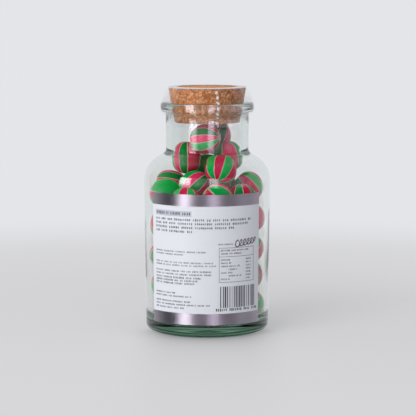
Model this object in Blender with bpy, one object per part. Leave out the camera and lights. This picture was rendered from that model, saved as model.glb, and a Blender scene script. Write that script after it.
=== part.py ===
"""A shut apothecary jar of striped boiled sweets, in metres, +Z up.

The origin is the middle of the foot, and the label faces -Y. The jar, its cork, the heap of
sweets, the wrap-round label and the film seal over the cork are one object each.
"""

import math

import bmesh
import bpy
import numpy as np
from mathutils import Vector

MM = 0.001

# Glass jar: body, shoulder, neck and lip
FOOT_R = 37.45 * MM
BODY_R = 38.35 * MM
HEEL_ROUND = 4.0 * MM
FOOT_RING_R = 28.0 * MM
KICK_RISE = 1.2 * MM
FLOOR_Z = 6.5 * MM
FLOOR_ROUND = 6.0 * MM
BODY_WALL = 2.5 * MM
SHOULDER_Z = 100.4 * MM
SHOULDER_ROUND = 16.0 * MM
SHOULDER_TURN = math.radians(58)
SHOULDER_WALL = 2.4 * MM
NECK_R = 25.1 * MM
NECK_BORE_R = 20.8 * MM
NECK_ROUND = 3.5 * MM
NECK_BORE_ROUND = 7.0 * MM
LIP_R = 28.3 * MM
LIP_TOP_Z = 138.7 * MM
LIP_BOTTOM_Z = 132.8 * MM
LIP_ROUND = 2.2 * MM
LIP_FILLET = 1.2 * MM
MOUTH_ROUND = 1.0 * MM

# Cork stopper
CORK_TOP_Z = 147.8 * MM
CORK_BOTTOM_Z = 126.6 * MM
CORK_TOP_R = 23.6 * MM
CORK_BOTTOM_R = 20.1 * MM
CORK_ROUND = 0.8 * MM

# Clearance between pieces that touch, how far a facet may stand off its arc, and sides turned
GAP = 0.3 * MM
FACET_SAG = 0.2 * MM
GLASS_SIDES = 48
SMALL_SIDES = 36
MERGE = 1e-6
SHARP_TURN = math.radians(38)

# Film seal: how far it folds in over the cork, where it ends on the neck, its thickness
FILM_OPENING_R = 18.0 * MM
FILM_END_Z = 125.0 * MM
FILM_THICKNESS = 0.3 * MM
FILM_TUCK = 2.0 * MM

# Label: its two heights, and its two ends as turns from the front
LABEL_BOTTOM_Z = 8.2 * MM
LABEL_TOP_Z = 86.3 * MM
LABEL_LEFT = math.radians(-57.4)
LABEL_RIGHT = math.radians(53.5)
LABEL_STEPS = 20
LABEL_THICKNESS = 0.3 * MM

# Sweets: barrels with flat ends, and the layers they lie in
SWEET_R_RANGE = (8.9 * MM, 9.6 * MM)
SWEET_LENGTH_RANGE = (0.95, 1.08)
SWEET_FULLNESS = 0.82
SWEET_SIDES = 10
SWEET_RINGS = 6
SEED = 6
LAYERS = 6
LAYER_PITCH = 15.8 * MM
WALL_RING_R = 25.6 * MM
WALL_COUNT = 8
INNER_RING_R = 8.6 * MM
INNER_COUNT = 2
INNER_LIFT = 0.45 * LAYER_PITCH
HEAP_TOP_Z = 90 * MM
NEAREST_START = 14.0 * MM
JITTER = 1.2 * MM

# How the heap settles: each step's sinking, how often a step pushes, and how much of an overlap
PACKED_SHARE = 0.985
TOUCHING_GAP = 0.1 * MM
SETTLE_STEPS = 300
SETTLE_SINK = 0.12 * MM
PUSHES = 3
PUSH_SHARE = 0.8
BULK_STEPS = 40

# Plain core inside the heap
CORE_R = 24.5 * MM
CORE_BOTTOM_Z = 9.5 * MM
CORE_SHOULDER_Z = 88 * MM
CORE_NECK_R = 8.5 * MM
CORE_TOP_Z = 117 * MM

# Sweets seen best from the front: middle (mm), girth radius and half length (mm), way of the axis
SHOWN_SWEETS = (
    ((-1.0, -9.8, 117.4), 8.6, 9.1, (1.0, -0.5, 0.15)),
    ((6.8, 9.4, 117.2), 8.6, 8.4, (0.4, 0.2, 0.9)),
    ((-12.5, -1.7, 105.3), 9.1, 9.7, (0.02, 0.0, 1.0)),
    ((12.9, -1.5, 106.3), 8.7, 9.1, (-0.3, 0.0, 1.0)),
    ((8.0, -16.1, 98.8), 9.6, 8.7, (-0.25, -0.6, -0.72)),
    ((-1.0, 14.0, 99.0), 9.4, 9.2, (0.5, 0.5, 0.7)),
    ((-23.4, 11.3, 88.4), 9.0, 9.6, (1.0, 0.0, -0.18)),
    ((-24.7, -6.6, 83.6), 9.3, 9.3, (1.0, -0.1, -0.25)),
    ((-6.4, -7.2, 87.7), 9.3, 9.3, (-0.4, -0.3, 0.85)),
    ((-12.8, -22.1, 78.3), 9.3, 9.3, (0.1, -0.5, 0.85)),
    ((6.2, -24.7, 82.0), 9.4, 9.4, (-0.62, -0.2, 0.75)),
    ((26.0, 3.2, 86.4), 9.3, 9.3, (-0.45, -0.64, 0.62)),
    ((20.5, -14.3, 81.0), 9.2, 9.2, (-0.1, -0.3, 0.95)),
    ((26.2, -1.5, 68.4), 9.3, 8.8, (0.1, 0.2, 1.0)),
    ((25.6, -5.3, 50.2), 9.2, 8.8, (0.6, 0.3, 0.7)),
    ((26.0, 1.5, 33.0), 9.0, 8.6, (0.2, -0.5, 0.8)),
    ((25.2, -5.6, 16.0), 9.2, 8.8, (0.3, 0.6, 0.7)),
    ((-26.0, -2.9, 64.5), 9.3, 8.8, (0.2, 0.4, 0.9)),
    ((-25.9, -2.9, 45.6), 9.3, 8.8, (0.7, 0.3, 0.6)),
    ((-25.6, -2.9, 26.9), 9.3, 8.8, (0.1, -0.4, 0.9)),
)


def clear_scene():
    """Remove every object that the file opened with."""
    for thing in list(bpy.data.objects):
        bpy.data.objects.remove(thing)


def material(name, color, roughness, metallic=0.0, transmission=0.0):
    """A Principled material of one finish."""
    made = bpy.data.materials.new(name)
    made.use_nodes = True
    shader = made.node_tree.nodes["Principled BSDF"]
    shader.inputs["Base Color"].default_value = (*color, 1.0)
    shader.inputs["Roughness"].default_value = roughness
    shader.inputs["Metallic"].default_value = metallic
    shader.inputs["Transmission Weight"].default_value = transmission
    return made


def placed(name, mesh, finish):
    """Put a mesh into the scene as a named object, shaded smooth up to its sharp edges."""
    mesh.shade_smooth()
    mesh.set_sharp_from_angle(angle=SHARP_TURN)
    mesh.materials.clear()
    mesh.materials.append(finish)
    thing = bpy.data.objects.new(name, mesh)
    bpy.context.collection.objects.link(thing)
    return thing


def rounded(corners):
    """Points of an outline through (radius, height, round) corners.

    A corner with a round is drawn as an arc that touches both of its sides, in equal steps that
    are as long as FACET_SAG allows.
    """
    points = []
    for i, (radius, height, bend) in enumerate(corners):
        here = Vector((radius, height))
        if bend == 0:
            points.append(here)
            continue
        before = (Vector(corners[i - 1][:2]) - here).normalized()
        after = (Vector(corners[i + 1][:2]) - here).normalized()
        half = before.angle(after) / 2
        turn = math.pi - 2 * half
        middle = here + (before + after).normalized() * (bend / math.sin(half))
        start = here + before * (bend / math.tan(half)) - middle
        side = math.copysign(1, before.x * after.y - before.y * after.x)
        steps = max(2, math.ceil(turn / (2 * math.acos(1 - FACET_SAG / bend))))
        for step in range(steps + 1):
            angle = -side * turn * step / steps
            swung = Vector(
                (
                    start.x * math.cos(angle) - start.y * math.sin(angle),
                    start.x * math.sin(angle) + start.y * math.cos(angle),
                )
            )
            points.append(middle + swung)
    return points


def turned(name, outline, sides, closed=False):
    """Mesh of an outline spun about Z. A closed outline is a ring, and an open one meets the axis."""
    shape = bmesh.new()
    verts = [shape.verts.new((p.x, 0.0, p.y)) for p in outline]
    pairs = list(zip(verts, verts[1:]))
    if closed:
        pairs.append((verts[-1], verts[0]))
    edges = [shape.edges.new(pair) for pair in pairs]
    bmesh.ops.spin(
        shape,
        geom=verts + edges,
        axis=(0.0, 0.0, 1.0),
        cent=(0.0, 0.0, 0.0),
        angle=math.tau,
        steps=sides,
        use_merge=True,
    )
    bmesh.ops.remove_doubles(shape, verts=shape.verts, dist=MERGE)
    bmesh.ops.recalc_face_normals(shape, faces=shape.faces)
    mesh = bpy.data.meshes.new(name)
    shape.to_mesh(mesh)
    shape.free()
    return mesh


def body_radius(height):
    """Outside radius of the jar's drafted body at a height."""
    return FOOT_R + (BODY_R - FOOT_R) * height / SHOULDER_Z


def cork_radius(height):
    """Radius of the tapered cork at a height."""
    share = (height - CORK_BOTTOM_Z) / (CORK_TOP_Z - CORK_BOTTOM_Z)
    return CORK_BOTTOM_R + (CORK_TOP_R - CORK_BOTTOM_R) * share


def inside_shoulder_z(radius):
    """Height of the shoulder's inner cone at a radius."""
    rise = (BODY_R - radius) / math.tan(SHOULDER_TURN)
    return SHOULDER_Z + rise - SHOULDER_WALL / math.sin(SHOULDER_TURN)


def jar_inside():
    """Corners of the jar's inside, from the middle of the floor up to the cork's foot."""
    top_r = BODY_R - BODY_WALL
    return [
        (0.0, FLOOR_Z, 0.0),
        (FOOT_R - BODY_WALL, FLOOR_Z, FLOOR_ROUND),
        (top_r, inside_shoulder_z(top_r), SHOULDER_ROUND - BODY_WALL),
        (NECK_BORE_R, inside_shoulder_z(NECK_BORE_R), NECK_BORE_ROUND),
        (NECK_BORE_R, CORK_BOTTOM_Z - GAP, 0.0),
    ]


def jar_outside():
    """Corners of the jar's outside, from the mouth down to the middle of the underside."""
    neck_foot_z = SHOULDER_Z + (BODY_R - NECK_R) / math.tan(SHOULDER_TURN)
    return [
        (cork_radius(LIP_TOP_Z) + GAP, LIP_TOP_Z, MOUTH_ROUND),
        (LIP_R, LIP_TOP_Z, LIP_ROUND),
        (LIP_R, LIP_BOTTOM_Z, LIP_ROUND),
        (NECK_R, LIP_BOTTOM_Z, LIP_FILLET),
        (NECK_R, neck_foot_z, NECK_ROUND),
        (BODY_R, SHOULDER_Z, SHOULDER_ROUND),
        (FOOT_R, 0.0, HEEL_ROUND),
        (FOOT_RING_R, 0.0, 0.0),
        (0.0, KICK_RISE, 0.0),
    ]


def make_jar():
    """The glass, one wall all round, open at the mouth."""
    glass = material("glass", (0.62, 0.74, 0.68), 0.05, transmission=1.0)
    outline = rounded(jar_inside() + jar_outside())
    return placed("jar", turned("jar", outline, GLASS_SIDES), glass)


def make_cork():
    """The tapered stopper, proud of the lip."""
    finish = material("cork", (0.50, 0.27, 0.13), 0.85)
    corners = [
        (0.0, CORK_TOP_Z, 0.0),
        (CORK_TOP_R, CORK_TOP_Z, CORK_ROUND),
        (CORK_BOTTOM_R, CORK_BOTTOM_Z, CORK_ROUND),
        (0.0, CORK_BOTTOM_Z, 0.0),
    ]
    return placed("cork", turned("cork", rounded(corners), SMALL_SIDES), finish)


def make_seal():
    """The shrunk film, from its fold on top of the cork, over the lip and down onto the neck."""
    finish = material("film", (0.92, 0.93, 0.94), 0.12, transmission=0.9)
    off = GAP + FILM_THICKNESS / 2
    middle = rounded(
        [
            (FILM_OPENING_R, CORK_TOP_Z + off, 0.0),
            (CORK_TOP_R + off, CORK_TOP_Z + off, CORK_ROUND + off),
            (LIP_R + off, LIP_TOP_Z - off, LIP_ROUND + off),
            (LIP_R + off, LIP_BOTTOM_Z - off, LIP_ROUND + off),
            (NECK_R + off, LIP_BOTTOM_Z - off - FILM_TUCK, LIP_FILLET),
            (NECK_R + off, FILM_END_Z, 0.0),
        ]
    )
    outer = []
    inner = []
    for i, point in enumerate(middle):
        along = middle[min(i + 1, len(middle) - 1)] - middle[max(i - 1, 0)]
        out = Vector((-along.y, along.x)).normalized() * (FILM_THICKNESS / 2)
        outer.append(point + out)
        inner.append(point - out)
    ring = turned("seal", outer + inner[::-1], SMALL_SIDES, closed=True)
    return placed("seal", ring, finish)


def make_label():
    """The foil label, a thin sheet bent round the body just clear of the glass."""
    finish = material("label", (0.80, 0.81, 0.83), 0.4)
    shape = bmesh.new()
    rows = []
    for height in (LABEL_BOTTOM_Z, LABEL_TOP_Z):
        radius = body_radius(height) + GAP
        turns = np.linspace(LABEL_LEFT, LABEL_RIGHT, LABEL_STEPS + 1)
        row = [(radius * math.sin(t), -radius * math.cos(t), height) for t in turns]
        rows.append([shape.verts.new(place) for place in row])
    low, high = rows
    for i in range(LABEL_STEPS):
        shape.faces.new((low[i], low[i + 1], high[i + 1], high[i]))
    mesh = bpy.data.meshes.new("label")
    shape.to_mesh(mesh)
    shape.free()
    label = placed("label", mesh, finish)
    thicken = label.modifiers.new("thickness", "SOLIDIFY")
    thicken.thickness = LABEL_THICKNESS
    thicken.offset = 1.0
    return label


def glass_clearance(places):
    """How far each place is from the jar's inside, and the way from the glass, as (radius, height)."""
    wall = rounded(jar_inside() + [(0.0, CORK_BOTTOM_Z - GAP, 0.0)])
    wall = np.array([tuple(p) for p in wall])
    start = wall[:-1]
    run = wall[1:] - start
    flat = np.sqrt(places[:, 0] ** 2 + places[:, 1] ** 2) + MERGE
    seen = np.stack([flat, places[:, 2]], axis=1)
    share = ((seen[:, None] - start) * run).sum(-1) / (run * run).sum(-1)
    foot = start + np.clip(share, 0.0, 1.0)[..., None] * run
    away = seen[:, None] - foot
    far = np.sqrt((away**2).sum(-1))
    pick = (np.arange(len(places)), far.argmin(1))
    return seen, far[pick], away[pick] / far[pick][:, None]


def sweet_bulk(sizes, lean):
    """How far each sweet reaches along a way that has lean for its cosine with the sweet's axis."""
    angles = np.linspace(0, math.pi / 2, BULK_STEPS + 1)
    across = sizes[:, :1] * np.sin(angles) ** SWEET_FULLNESS * np.sqrt(1 - lean[:, None] ** 2)
    along = sizes[:, 1:] * np.cos(angles) * np.abs(lean[:, None])
    return (across + along).max(1)


def settle(places, sizes, axes, held, sink):
    """Push sweets apart and off the glass until they only touch, while loose ones sink a little.

    Reach is what a sweet keeps from its neighbours and bulk what it keeps from the glass. Places
    are rounded at each step, so that every machine reaches the same heap.
    """
    reach = (2 * sizes[:, 0] + sizes[:, 1]) / 3 * PACKED_SHARE
    loose = np.where(held, 0.0, 1.0)
    share = loose[:, None] / np.maximum(loose[:, None] + loose[None], MERGE)
    np.fill_diagonal(share, 0.0)
    for step in range(SETTLE_STEPS):
        places[:, 2] -= sink * (1 - step / SETTLE_STEPS) * loose
        for _ in range(PUSHES):
            apart = places[:, None] - places[None]
            far = np.sqrt((apart**2).sum(-1)) + MERGE
            short = np.clip(reach[:, None] + reach[None] + TOUCHING_GAP - far, 0.0, None)
            push = apart / far[..., None] * (short * share)[..., None]
            places += PUSH_SHARE * push.sum(1)
            seen, clear, way = glass_clearance(places)
            level = places[:, :2] / seen[:, :1] * way[:, :1]
            lean = (np.hstack([level, way[:, 1:]]) * axes).sum(1)
            need = np.clip(sweet_bulk(sizes, lean) + GAP - clear, 0.0, None)
            moved = seen + way * need[:, None]
            places[:, :2] *= (moved[:, 0] / seen[:, 0])[:, None]
            places[:, 2] = moved[:, 1]
        places = np.round(places, 7)
    return places


def heap():
    """Middle, girth radius, half length and axis of every sweet: those shown, then layers of the rest."""
    draw = np.random.default_rng(SEED)
    sizes = [(girth * MM, half * MM) for _, girth, half, _ in SHOWN_SWEETS]
    axes = [way for _, _, _, way in SHOWN_SWEETS]
    shown = np.array([middle for middle, _, _, _ in SHOWN_SWEETS]) * MM
    starts = []
    for layer in range(LAYERS):
        height = FLOOR_Z + SWEET_R_RANGE[1] + LAYER_PITCH * layer
        for radius, count, lift in (
            (WALL_RING_R, WALL_COUNT, 0.0),
            (INNER_RING_R, INNER_COUNT, INNER_LIFT),
        ):
            turn = draw.uniform(0, math.tau)
            for k in range(count):
                angle = turn + math.tau * k / count
                rise = lift + draw.uniform(-JITTER, JITTER)
                starts.append((radius * math.cos(angle), radius * math.sin(angle), height + rise))
    starts = np.array([s for s in starts if s[2] < HEAP_TOP_Z])
    nearest = np.sqrt(((starts[:, None] - shown[None]) ** 2).sum(-1)).min(1)
    starts = starts[nearest > NEAREST_START]
    for _ in starts:
        girth = draw.uniform(*SWEET_R_RANGE)
        sizes.append((girth, girth * draw.uniform(*SWEET_LENGTH_RANGE)))
        axes.append(tuple(draw.normal(size=3)))
    sizes = np.array(sizes)
    axes = np.array(axes) / np.linalg.norm(axes, axis=1)[:, None]
    held = np.arange(len(sizes)) < len(shown)
    places = np.vstack([shown, starts])
    for sink in (SETTLE_SINK, 0.0):
        places = settle(places, sizes, axes, held, sink)
    return places, sizes, axes


def sweet_mesh(name, middle, girth, half, axis):
    """A barrel: radius girth * sin(u) ** fullness at height half * cos(u), from pole to pole."""
    along = Vector(axis).normalized()
    turn = Vector((0.0, 0.0, 1.0)).rotation_difference(along)
    outline = []
    for ring in range(SWEET_RINGS + 1):
        angle = math.pi * ring / SWEET_RINGS
        radius = girth * max(math.sin(angle), 0.0) ** SWEET_FULLNESS
        outline.append(Vector((radius if 0 < ring < SWEET_RINGS else 0.0, half * math.cos(angle))))
    mesh = turned(name, outline, SWEET_SIDES)
    mesh.transform(turn.to_matrix().to_4x4())
    for vert in mesh.vertices:
        vert.co += Vector(middle)
    return mesh


def make_sweets():
    """The heap: a plain core with every sweet that shows fused onto it."""
    finish = material("sweets", (0.55, 0.05, 0.10), 0.25)
    core_outline = rounded(
        [
            (0.0, CORE_TOP_Z, 0.0),
            (CORE_NECK_R, CORE_TOP_Z, CORE_NECK_R / 3),
            (CORE_NECK_R, CORE_SHOULDER_Z + CORE_R - CORE_NECK_R, CORE_NECK_R),
            (CORE_R, CORE_SHOULDER_Z, CORE_NECK_R),
            (CORE_R, CORE_BOTTOM_Z, CORE_NECK_R / 2),
            (0.0, CORE_BOTTOM_Z, 0.0),
        ]
    )
    sweets = placed("sweets", turned("sweets", core_outline, SMALL_SIDES // 2), finish)
    group = bpy.data.collections.new("loose sweets")
    bpy.context.scene.collection.children.link(group)
    places, sizes, axes = heap()
    for i, (middle, size, axis) in enumerate(zip(places, sizes, axes)):
        out = math.hypot(middle[0], middle[1]) + size[0]
        if out < CORE_R and middle[2] < CORE_SHOULDER_Z:
            continue
        mesh = sweet_mesh(f"sweet {i}", middle, size[0], size[1], axis)
        group.objects.link(bpy.data.objects.new(mesh.name, mesh))
    join = sweets.modifiers.new("join", "BOOLEAN")
    join.operation = "UNION"
    join.operand_type = "COLLECTION"
    join.collection = group
    join.solver = "MANIFOLD"
    view = bpy.context.evaluated_depsgraph_get()
    fused = bpy.data.meshes.new_from_object(sweets.evaluated_get(view))
    sweets.modifiers.clear()
    sweets.data = fused
    fused.name = "sweets"
    fused.materials.clear()
    fused.materials.append(finish)
    fused.shade_smooth()
    fused.set_sharp_from_angle(angle=SHARP_TURN)
    for loose in list(group.objects):
        bpy.data.objects.remove(loose)
    bpy.data.collections.remove(group)
    return sweets


clear_scene()
make_jar()
make_cork()
make_sweets()
make_label()
make_seal()
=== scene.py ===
"""A corked jar of striped boiled sweets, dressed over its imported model, in metres with +Z up.

The pieces follow each other as the jar is filled and closed: glass, sweets, cork, label, film.
"""

import math

import bpy
import numpy as np
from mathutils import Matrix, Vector


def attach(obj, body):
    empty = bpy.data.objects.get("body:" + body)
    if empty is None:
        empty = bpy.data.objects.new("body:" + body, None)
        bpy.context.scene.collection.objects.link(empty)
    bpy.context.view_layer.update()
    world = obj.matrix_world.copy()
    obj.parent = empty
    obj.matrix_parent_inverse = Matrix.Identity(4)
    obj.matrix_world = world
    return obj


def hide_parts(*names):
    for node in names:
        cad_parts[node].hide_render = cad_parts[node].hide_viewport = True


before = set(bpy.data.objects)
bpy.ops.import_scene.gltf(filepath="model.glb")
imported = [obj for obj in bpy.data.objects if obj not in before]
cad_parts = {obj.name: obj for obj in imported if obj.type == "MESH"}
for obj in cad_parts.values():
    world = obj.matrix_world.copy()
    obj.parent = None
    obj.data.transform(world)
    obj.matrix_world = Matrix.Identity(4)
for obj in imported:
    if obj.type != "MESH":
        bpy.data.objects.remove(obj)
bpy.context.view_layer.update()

# The glass jar
# A clear jar with a faint green cast, moulded in one: a straight thin-walled body on a thick
# floor, a rounded shoulder, a neck and a heavy lip. The inside is a little wavy.

MM = 0.001
GAP = 0.3 * MM
FOOT_R = 37.45 * MM
BODY_R = 38.35 * MM
BODY_WALL = 2.5 * MM
FLOOR_Z = 6.5 * MM
FLOOR_ROUND = 6.0 * MM
SHOULDER_Z = 100.4 * MM
SHOULDER_ROUND = 16.0 * MM
SHOULDER_TURN = math.radians(58)
SHOULDER_WALL = 2.4 * MM
NECK_R = 25.1 * MM
NECK_BORE_R = 20.8 * MM
NECK_BORE_ROUND = 7.0 * MM
LIP_R = 28.3 * MM
LIP_TOP_Z = 138.7 * MM
LIP_BOTTOM_Z = 132.8 * MM
CORK_TOP_Z = 147.8 * MM
CORK_BOTTOM_Z = 126.6 * MM
CORK_TOP_R = 23.6 * MM
CORK_BOTTOM_R = 20.1 * MM
MOUTH_ROUND = 1.0 * MM
LIP_ROUND = 2.2 * MM
UNDER_LIP_ROUND = 1.2 * MM
NECK_FOOT_ROUND = 3.5 * MM
FOOT_ROUND = 4.0 * MM
STAND_R = 28.0 * MM
KICK_UP = 1.2 * MM
GLASS_SIDES = 144
FINE_SAG = 0.01 * MM
GLASS_STEP = 2.5 * MM

# Low waves on the inside: height (mm), count round, length up the wall (mm), and start of each
GLASS_WAVES = ((0.09, 3, 19, 0.9), (0.06, 5, -11, 2.0), (0.03, 8, 7, 0.0))
WAVES_FULL_R = 30 * MM
MOUTH_ROWS = 4
CORK_CLEARANCE = 2 * MM

WHITE = (1.0, 1.0, 1.0, 1.0)
FOOT_GREENS = ((0.15, 0.23, 0.18, 1.0), (0.38, 0.51, 0.43, 1.0))
FOOT_TINT_Z = (6.2 * MM, 5.4 * MM)
FOOT_TINT_R = (30 * MM, 33 * MM)
SHADOW_TINT = (0.93, 0.96, 0.95, 1.0)
DEPTH_TINT = (0.80, 0.87, 0.83, 1.0)
DEPTH_DENSITY = 80.0


def tone(red, green, blue):
    """A colour from its three values of 0 to 255 as a screen shows them."""
    share = np.array([red, green, blue]) / 255
    linear = np.where(share <= 0.04045, share / 12.92, ((share + 0.055) / 1.055) ** 2.4)
    return (*linear.tolist(), 1.0)


class Wire:
    """A socket of a shader. Sums on wires add Math nodes, and node() adds any other node."""

    def __init__(self, tree, socket=None):
        self.tree = tree
        self.socket = socket

    def node(self, kind, settings=None, sockets=None, output=0):
        """Add a node, set its settings, then its sockets, and hand back one of its outputs."""
        made = self.tree.nodes.new(kind)
        for name, value in (settings or {}).items():
            if name == "stops":
                while len(made.color_ramp.elements) < len(value):
                    made.color_ramp.elements.new(0.5)
                for stop, (place, color) in zip(made.color_ramp.elements, value):
                    stop.position = place
                    stop.color = color
            else:
                setattr(made, name, value)
        for name, value in (sockets or {}).items():
            self.feed(made, name, value)
        return Wire(self.tree, made.outputs[output]) if made.outputs else made

    def feed(self, node, name, value):
        """Link a wire to a node's socket, or set a plain value on it."""
        if isinstance(value, Wire):
            self.tree.links.new(value.socket, node.inputs[name])
        else:
            node.inputs[name].default_value = value

    def maths(self, operation, first, second=0.0):
        return self.node("ShaderNodeMath", {"operation": operation}, {0: first, 1: second})

    def __add__(self, other):
        return self.maths("ADD", self, other)

    __radd__ = __add__

    def __sub__(self, other):
        return self.maths("SUBTRACT", self, other)

    def __rsub__(self, other):
        return self.maths("SUBTRACT", other, self)

    def __mul__(self, other):
        return self.maths("MULTIPLY", self, other)

    __rmul__ = __mul__

    def __truediv__(self, other):
        return self.maths("DIVIDE", self, other)

    def __mod__(self, other):
        return self.maths("FLOORED_MODULO", self, other)

    def __pow__(self, other):
        return self.maths("POWER", self, other)

    def least(self, other):
        return self.maths("MINIMUM", self, other)

    def most(self, other):
        return self.maths("MAXIMUM", self, other)

    def rise(self, low, high):
        """Nought to one, smoothly, as the wire goes from low to high."""
        sockets = {"Value": self, "From Min": low, "From Max": high}
        return self.node("ShaderNodeMapRange", {"interpolation_type": "SMOOTHSTEP"}, sockets)

    def blend(self, start, end):
        """The colour between two others that the wire picks, as it goes from nought to one."""
        return self.node("ShaderNodeMix", {"data_type": "RGBA"}, {0: self, 6: start, 7: end}, 2)

    def noise(self, place, scale, detail=2.0, rough=0.5):
        sockets = {"Vector": place, "Scale": scale, "Detail": detail, "Roughness": rough}
        return self.node("ShaderNodeTexNoise", None, sockets)

    def place(self, *size):
        """Object coordinates, as a vector stretched by size, or as their three parts."""
        spot = self.node("ShaderNodeTexCoord", output="Object")
        if size:
            return self.node("ShaderNodeVectorMath", {"operation": "MULTIPLY"}, {0: spot, 1: size})
        return [self.node("ShaderNodeSeparateXYZ", None, {0: spot}, i) for i in range(3)]

    def bump(self, height, strength, distance):
        sockets = {"Height": height, "Strength": strength, "Distance": distance}
        return self.node("ShaderNodeBump", None, sockets)


def finish(name, **fixed):
    """A new material, a wire to add nodes with, and its shader with the fixed values set on it."""
    made = bpy.data.materials.new(name)
    made.use_nodes = True
    shader = made.node_tree.nodes["Principled BSDF"]
    for socket, value in fixed.items():
        shader.inputs[socket.replace("_", " ")].default_value = value
    return made, Wire(made.node_tree), shader


def rounded(corners, sag):
    """Points of an outline through (radius, height, round) corners.

    A corner with a round is an arc that touches both of its sides, and no step of it stands
    further than sag off the true arc.
    """
    points = []
    for i, (radius, height, bend) in enumerate(corners):
        here = Vector((radius, height))
        if bend == 0:
            points.append(here)
            continue
        before = (Vector(corners[i - 1][:2]) - here).normalized()
        after = (Vector(corners[i + 1][:2]) - here).normalized()
        half = before.angle(after) / 2
        turn = math.pi - 2 * half
        middle = here + (before + after).normalized() * (bend / math.sin(half))
        start = here + before * (bend / math.tan(half)) - middle
        side = math.copysign(1, before.x * after.y - before.y * after.x)
        steps = max(2, math.ceil(turn / (2 * math.acos(1 - sag / bend))))
        for step in range(steps + 1):
            angle = -side * turn * step / steps
            swung = Vector(
                (
                    start.x * math.cos(angle) - start.y * math.sin(angle),
                    start.x * math.sin(angle) + start.y * math.cos(angle),
                )
            )
            points.append(middle + swung)
    return np.array([tuple(p) for p in points])


def finely(outline, longest):
    """The outline with its long straight runs cut into equal steps, none longer than longest."""
    run = np.linalg.norm(np.diff(outline, axis=0), axis=1)
    parts = np.maximum(1, np.ceil(run / longest)).astype(int)
    start = np.repeat(np.arange(len(run)), parts)
    share = (np.arange(parts.sum()) - np.repeat(np.cumsum(parts) - parts, parts)) / parts[start]
    points = outline[start] + (outline[start + 1] - outline[start]) * share[:, None]
    return np.vstack([points, outline[-1:]])


def spun(radius, height, angle):
    """Points turned about the axis: (radius cos angle, radius sin angle, height)."""
    radius, height, angle = np.broadcast_arrays(radius, height, angle)
    return np.stack([radius * np.cos(angle), radius * np.sin(angle), height], -1)


def shell(grid, first=None, last=None):
    """Points, four-sided and three-sided faces of a grid whose columns run right round.

    Its first and last rows close on a pole each. Without poles they join each other in a ring.
    """
    rows, sides = grid.shape[:2]
    number = np.arange(rows * sides).reshape(rows, sides)
    beside = np.roll(number, -1, axis=1)
    if first is None:
        under = np.roll(number, -1, axis=0)
        quads = np.stack([number, under, np.roll(under, -1, axis=1), beside], -1)
        return grid.reshape(-1, 3), quads.reshape(-1, 4), np.zeros((0, 3), int)
    quads = np.stack([number[:-1], number[1:], beside[1:], beside[:-1]], -1).reshape(-1, 4)
    pole = np.full(sides, rows * sides)
    fans = [
        np.stack([pole, number[0], beside[0]], -1),
        np.stack([beside[-1], number[-1], pole + 1], -1),
    ]
    return np.vstack([grid.reshape(-1, 3), first, last]), quads, np.vstack(fans)


def piece(name, points, quads, fans, made, slot, node=None, sharp=None):
    """A finished piece that rides on the jar, and stands for a node of the model if it names one.

    Edges that turn by more than sharp degrees, if that is given, aren't smoothed over.
    """
    mesh = bpy.data.meshes.new(name)
    mesh.from_pydata(points.tolist(), [], quads.tolist() + fans.tolist())
    mesh.shade_smooth()
    if sharp:
        mesh.set_sharp_from_angle(angle=math.radians(sharp))
    mesh.materials.append(made)
    thing = bpy.data.objects.new(name, mesh)
    bpy.context.collection.objects.link(thing)
    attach(thing, "root")
    if node:
        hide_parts(node)
    return thing


def body_radius(height):
    """Outside radius of the drafted body at a height."""
    return FOOT_R + (BODY_R - FOOT_R) * height / SHOULDER_Z


def cork_radius(height):
    """Radius of the tapered cork at a height."""
    share = (height - CORK_BOTTOM_Z) / (CORK_TOP_Z - CORK_BOTTOM_Z)
    return CORK_BOTTOM_R + (CORK_TOP_R - CORK_BOTTOM_R) * share


def inside_shoulder_z(radius):
    """Height of the shoulder's inner cone at a radius."""
    rise = (BODY_R - radius) / math.tan(SHOULDER_TURN)
    return SHOULDER_Z + rise - SHOULDER_WALL / math.sin(SHOULDER_TURN)


def jar_inside():
    """Corners of the inside, from the middle of the floor up to the cork's foot."""
    top_r = BODY_R - BODY_WALL
    return [
        (0.0, FLOOR_Z, 0.0),
        (FOOT_R - BODY_WALL, FLOOR_Z, FLOOR_ROUND),
        (top_r, inside_shoulder_z(top_r), SHOULDER_ROUND - BODY_WALL),
        (NECK_BORE_R, inside_shoulder_z(NECK_BORE_R), NECK_BORE_ROUND),
        (NECK_BORE_R, CORK_BOTTOM_Z - GAP, 0.0),
    ]


def jar_outside():
    """Corners of the outside, from the mouth down to the middle of the underside."""
    neck_foot_z = SHOULDER_Z + (BODY_R - NECK_R) / math.tan(SHOULDER_TURN)
    return [
        (cork_radius(LIP_TOP_Z) + GAP, LIP_TOP_Z, MOUTH_ROUND),
        (LIP_R, LIP_TOP_Z, LIP_ROUND),
        (LIP_R, LIP_BOTTOM_Z, LIP_ROUND),
        (NECK_R, LIP_BOTTOM_Z, UNDER_LIP_ROUND),
        (NECK_R, neck_foot_z, NECK_FOOT_ROUND),
        (BODY_R, SHOULDER_Z, SHOULDER_ROUND),
        (FOOT_R, 0.0, FOOT_ROUND),
        (STAND_R, 0.0, 0.0),
        (0.0, KICK_UP, 0.0),
    ]


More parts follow.
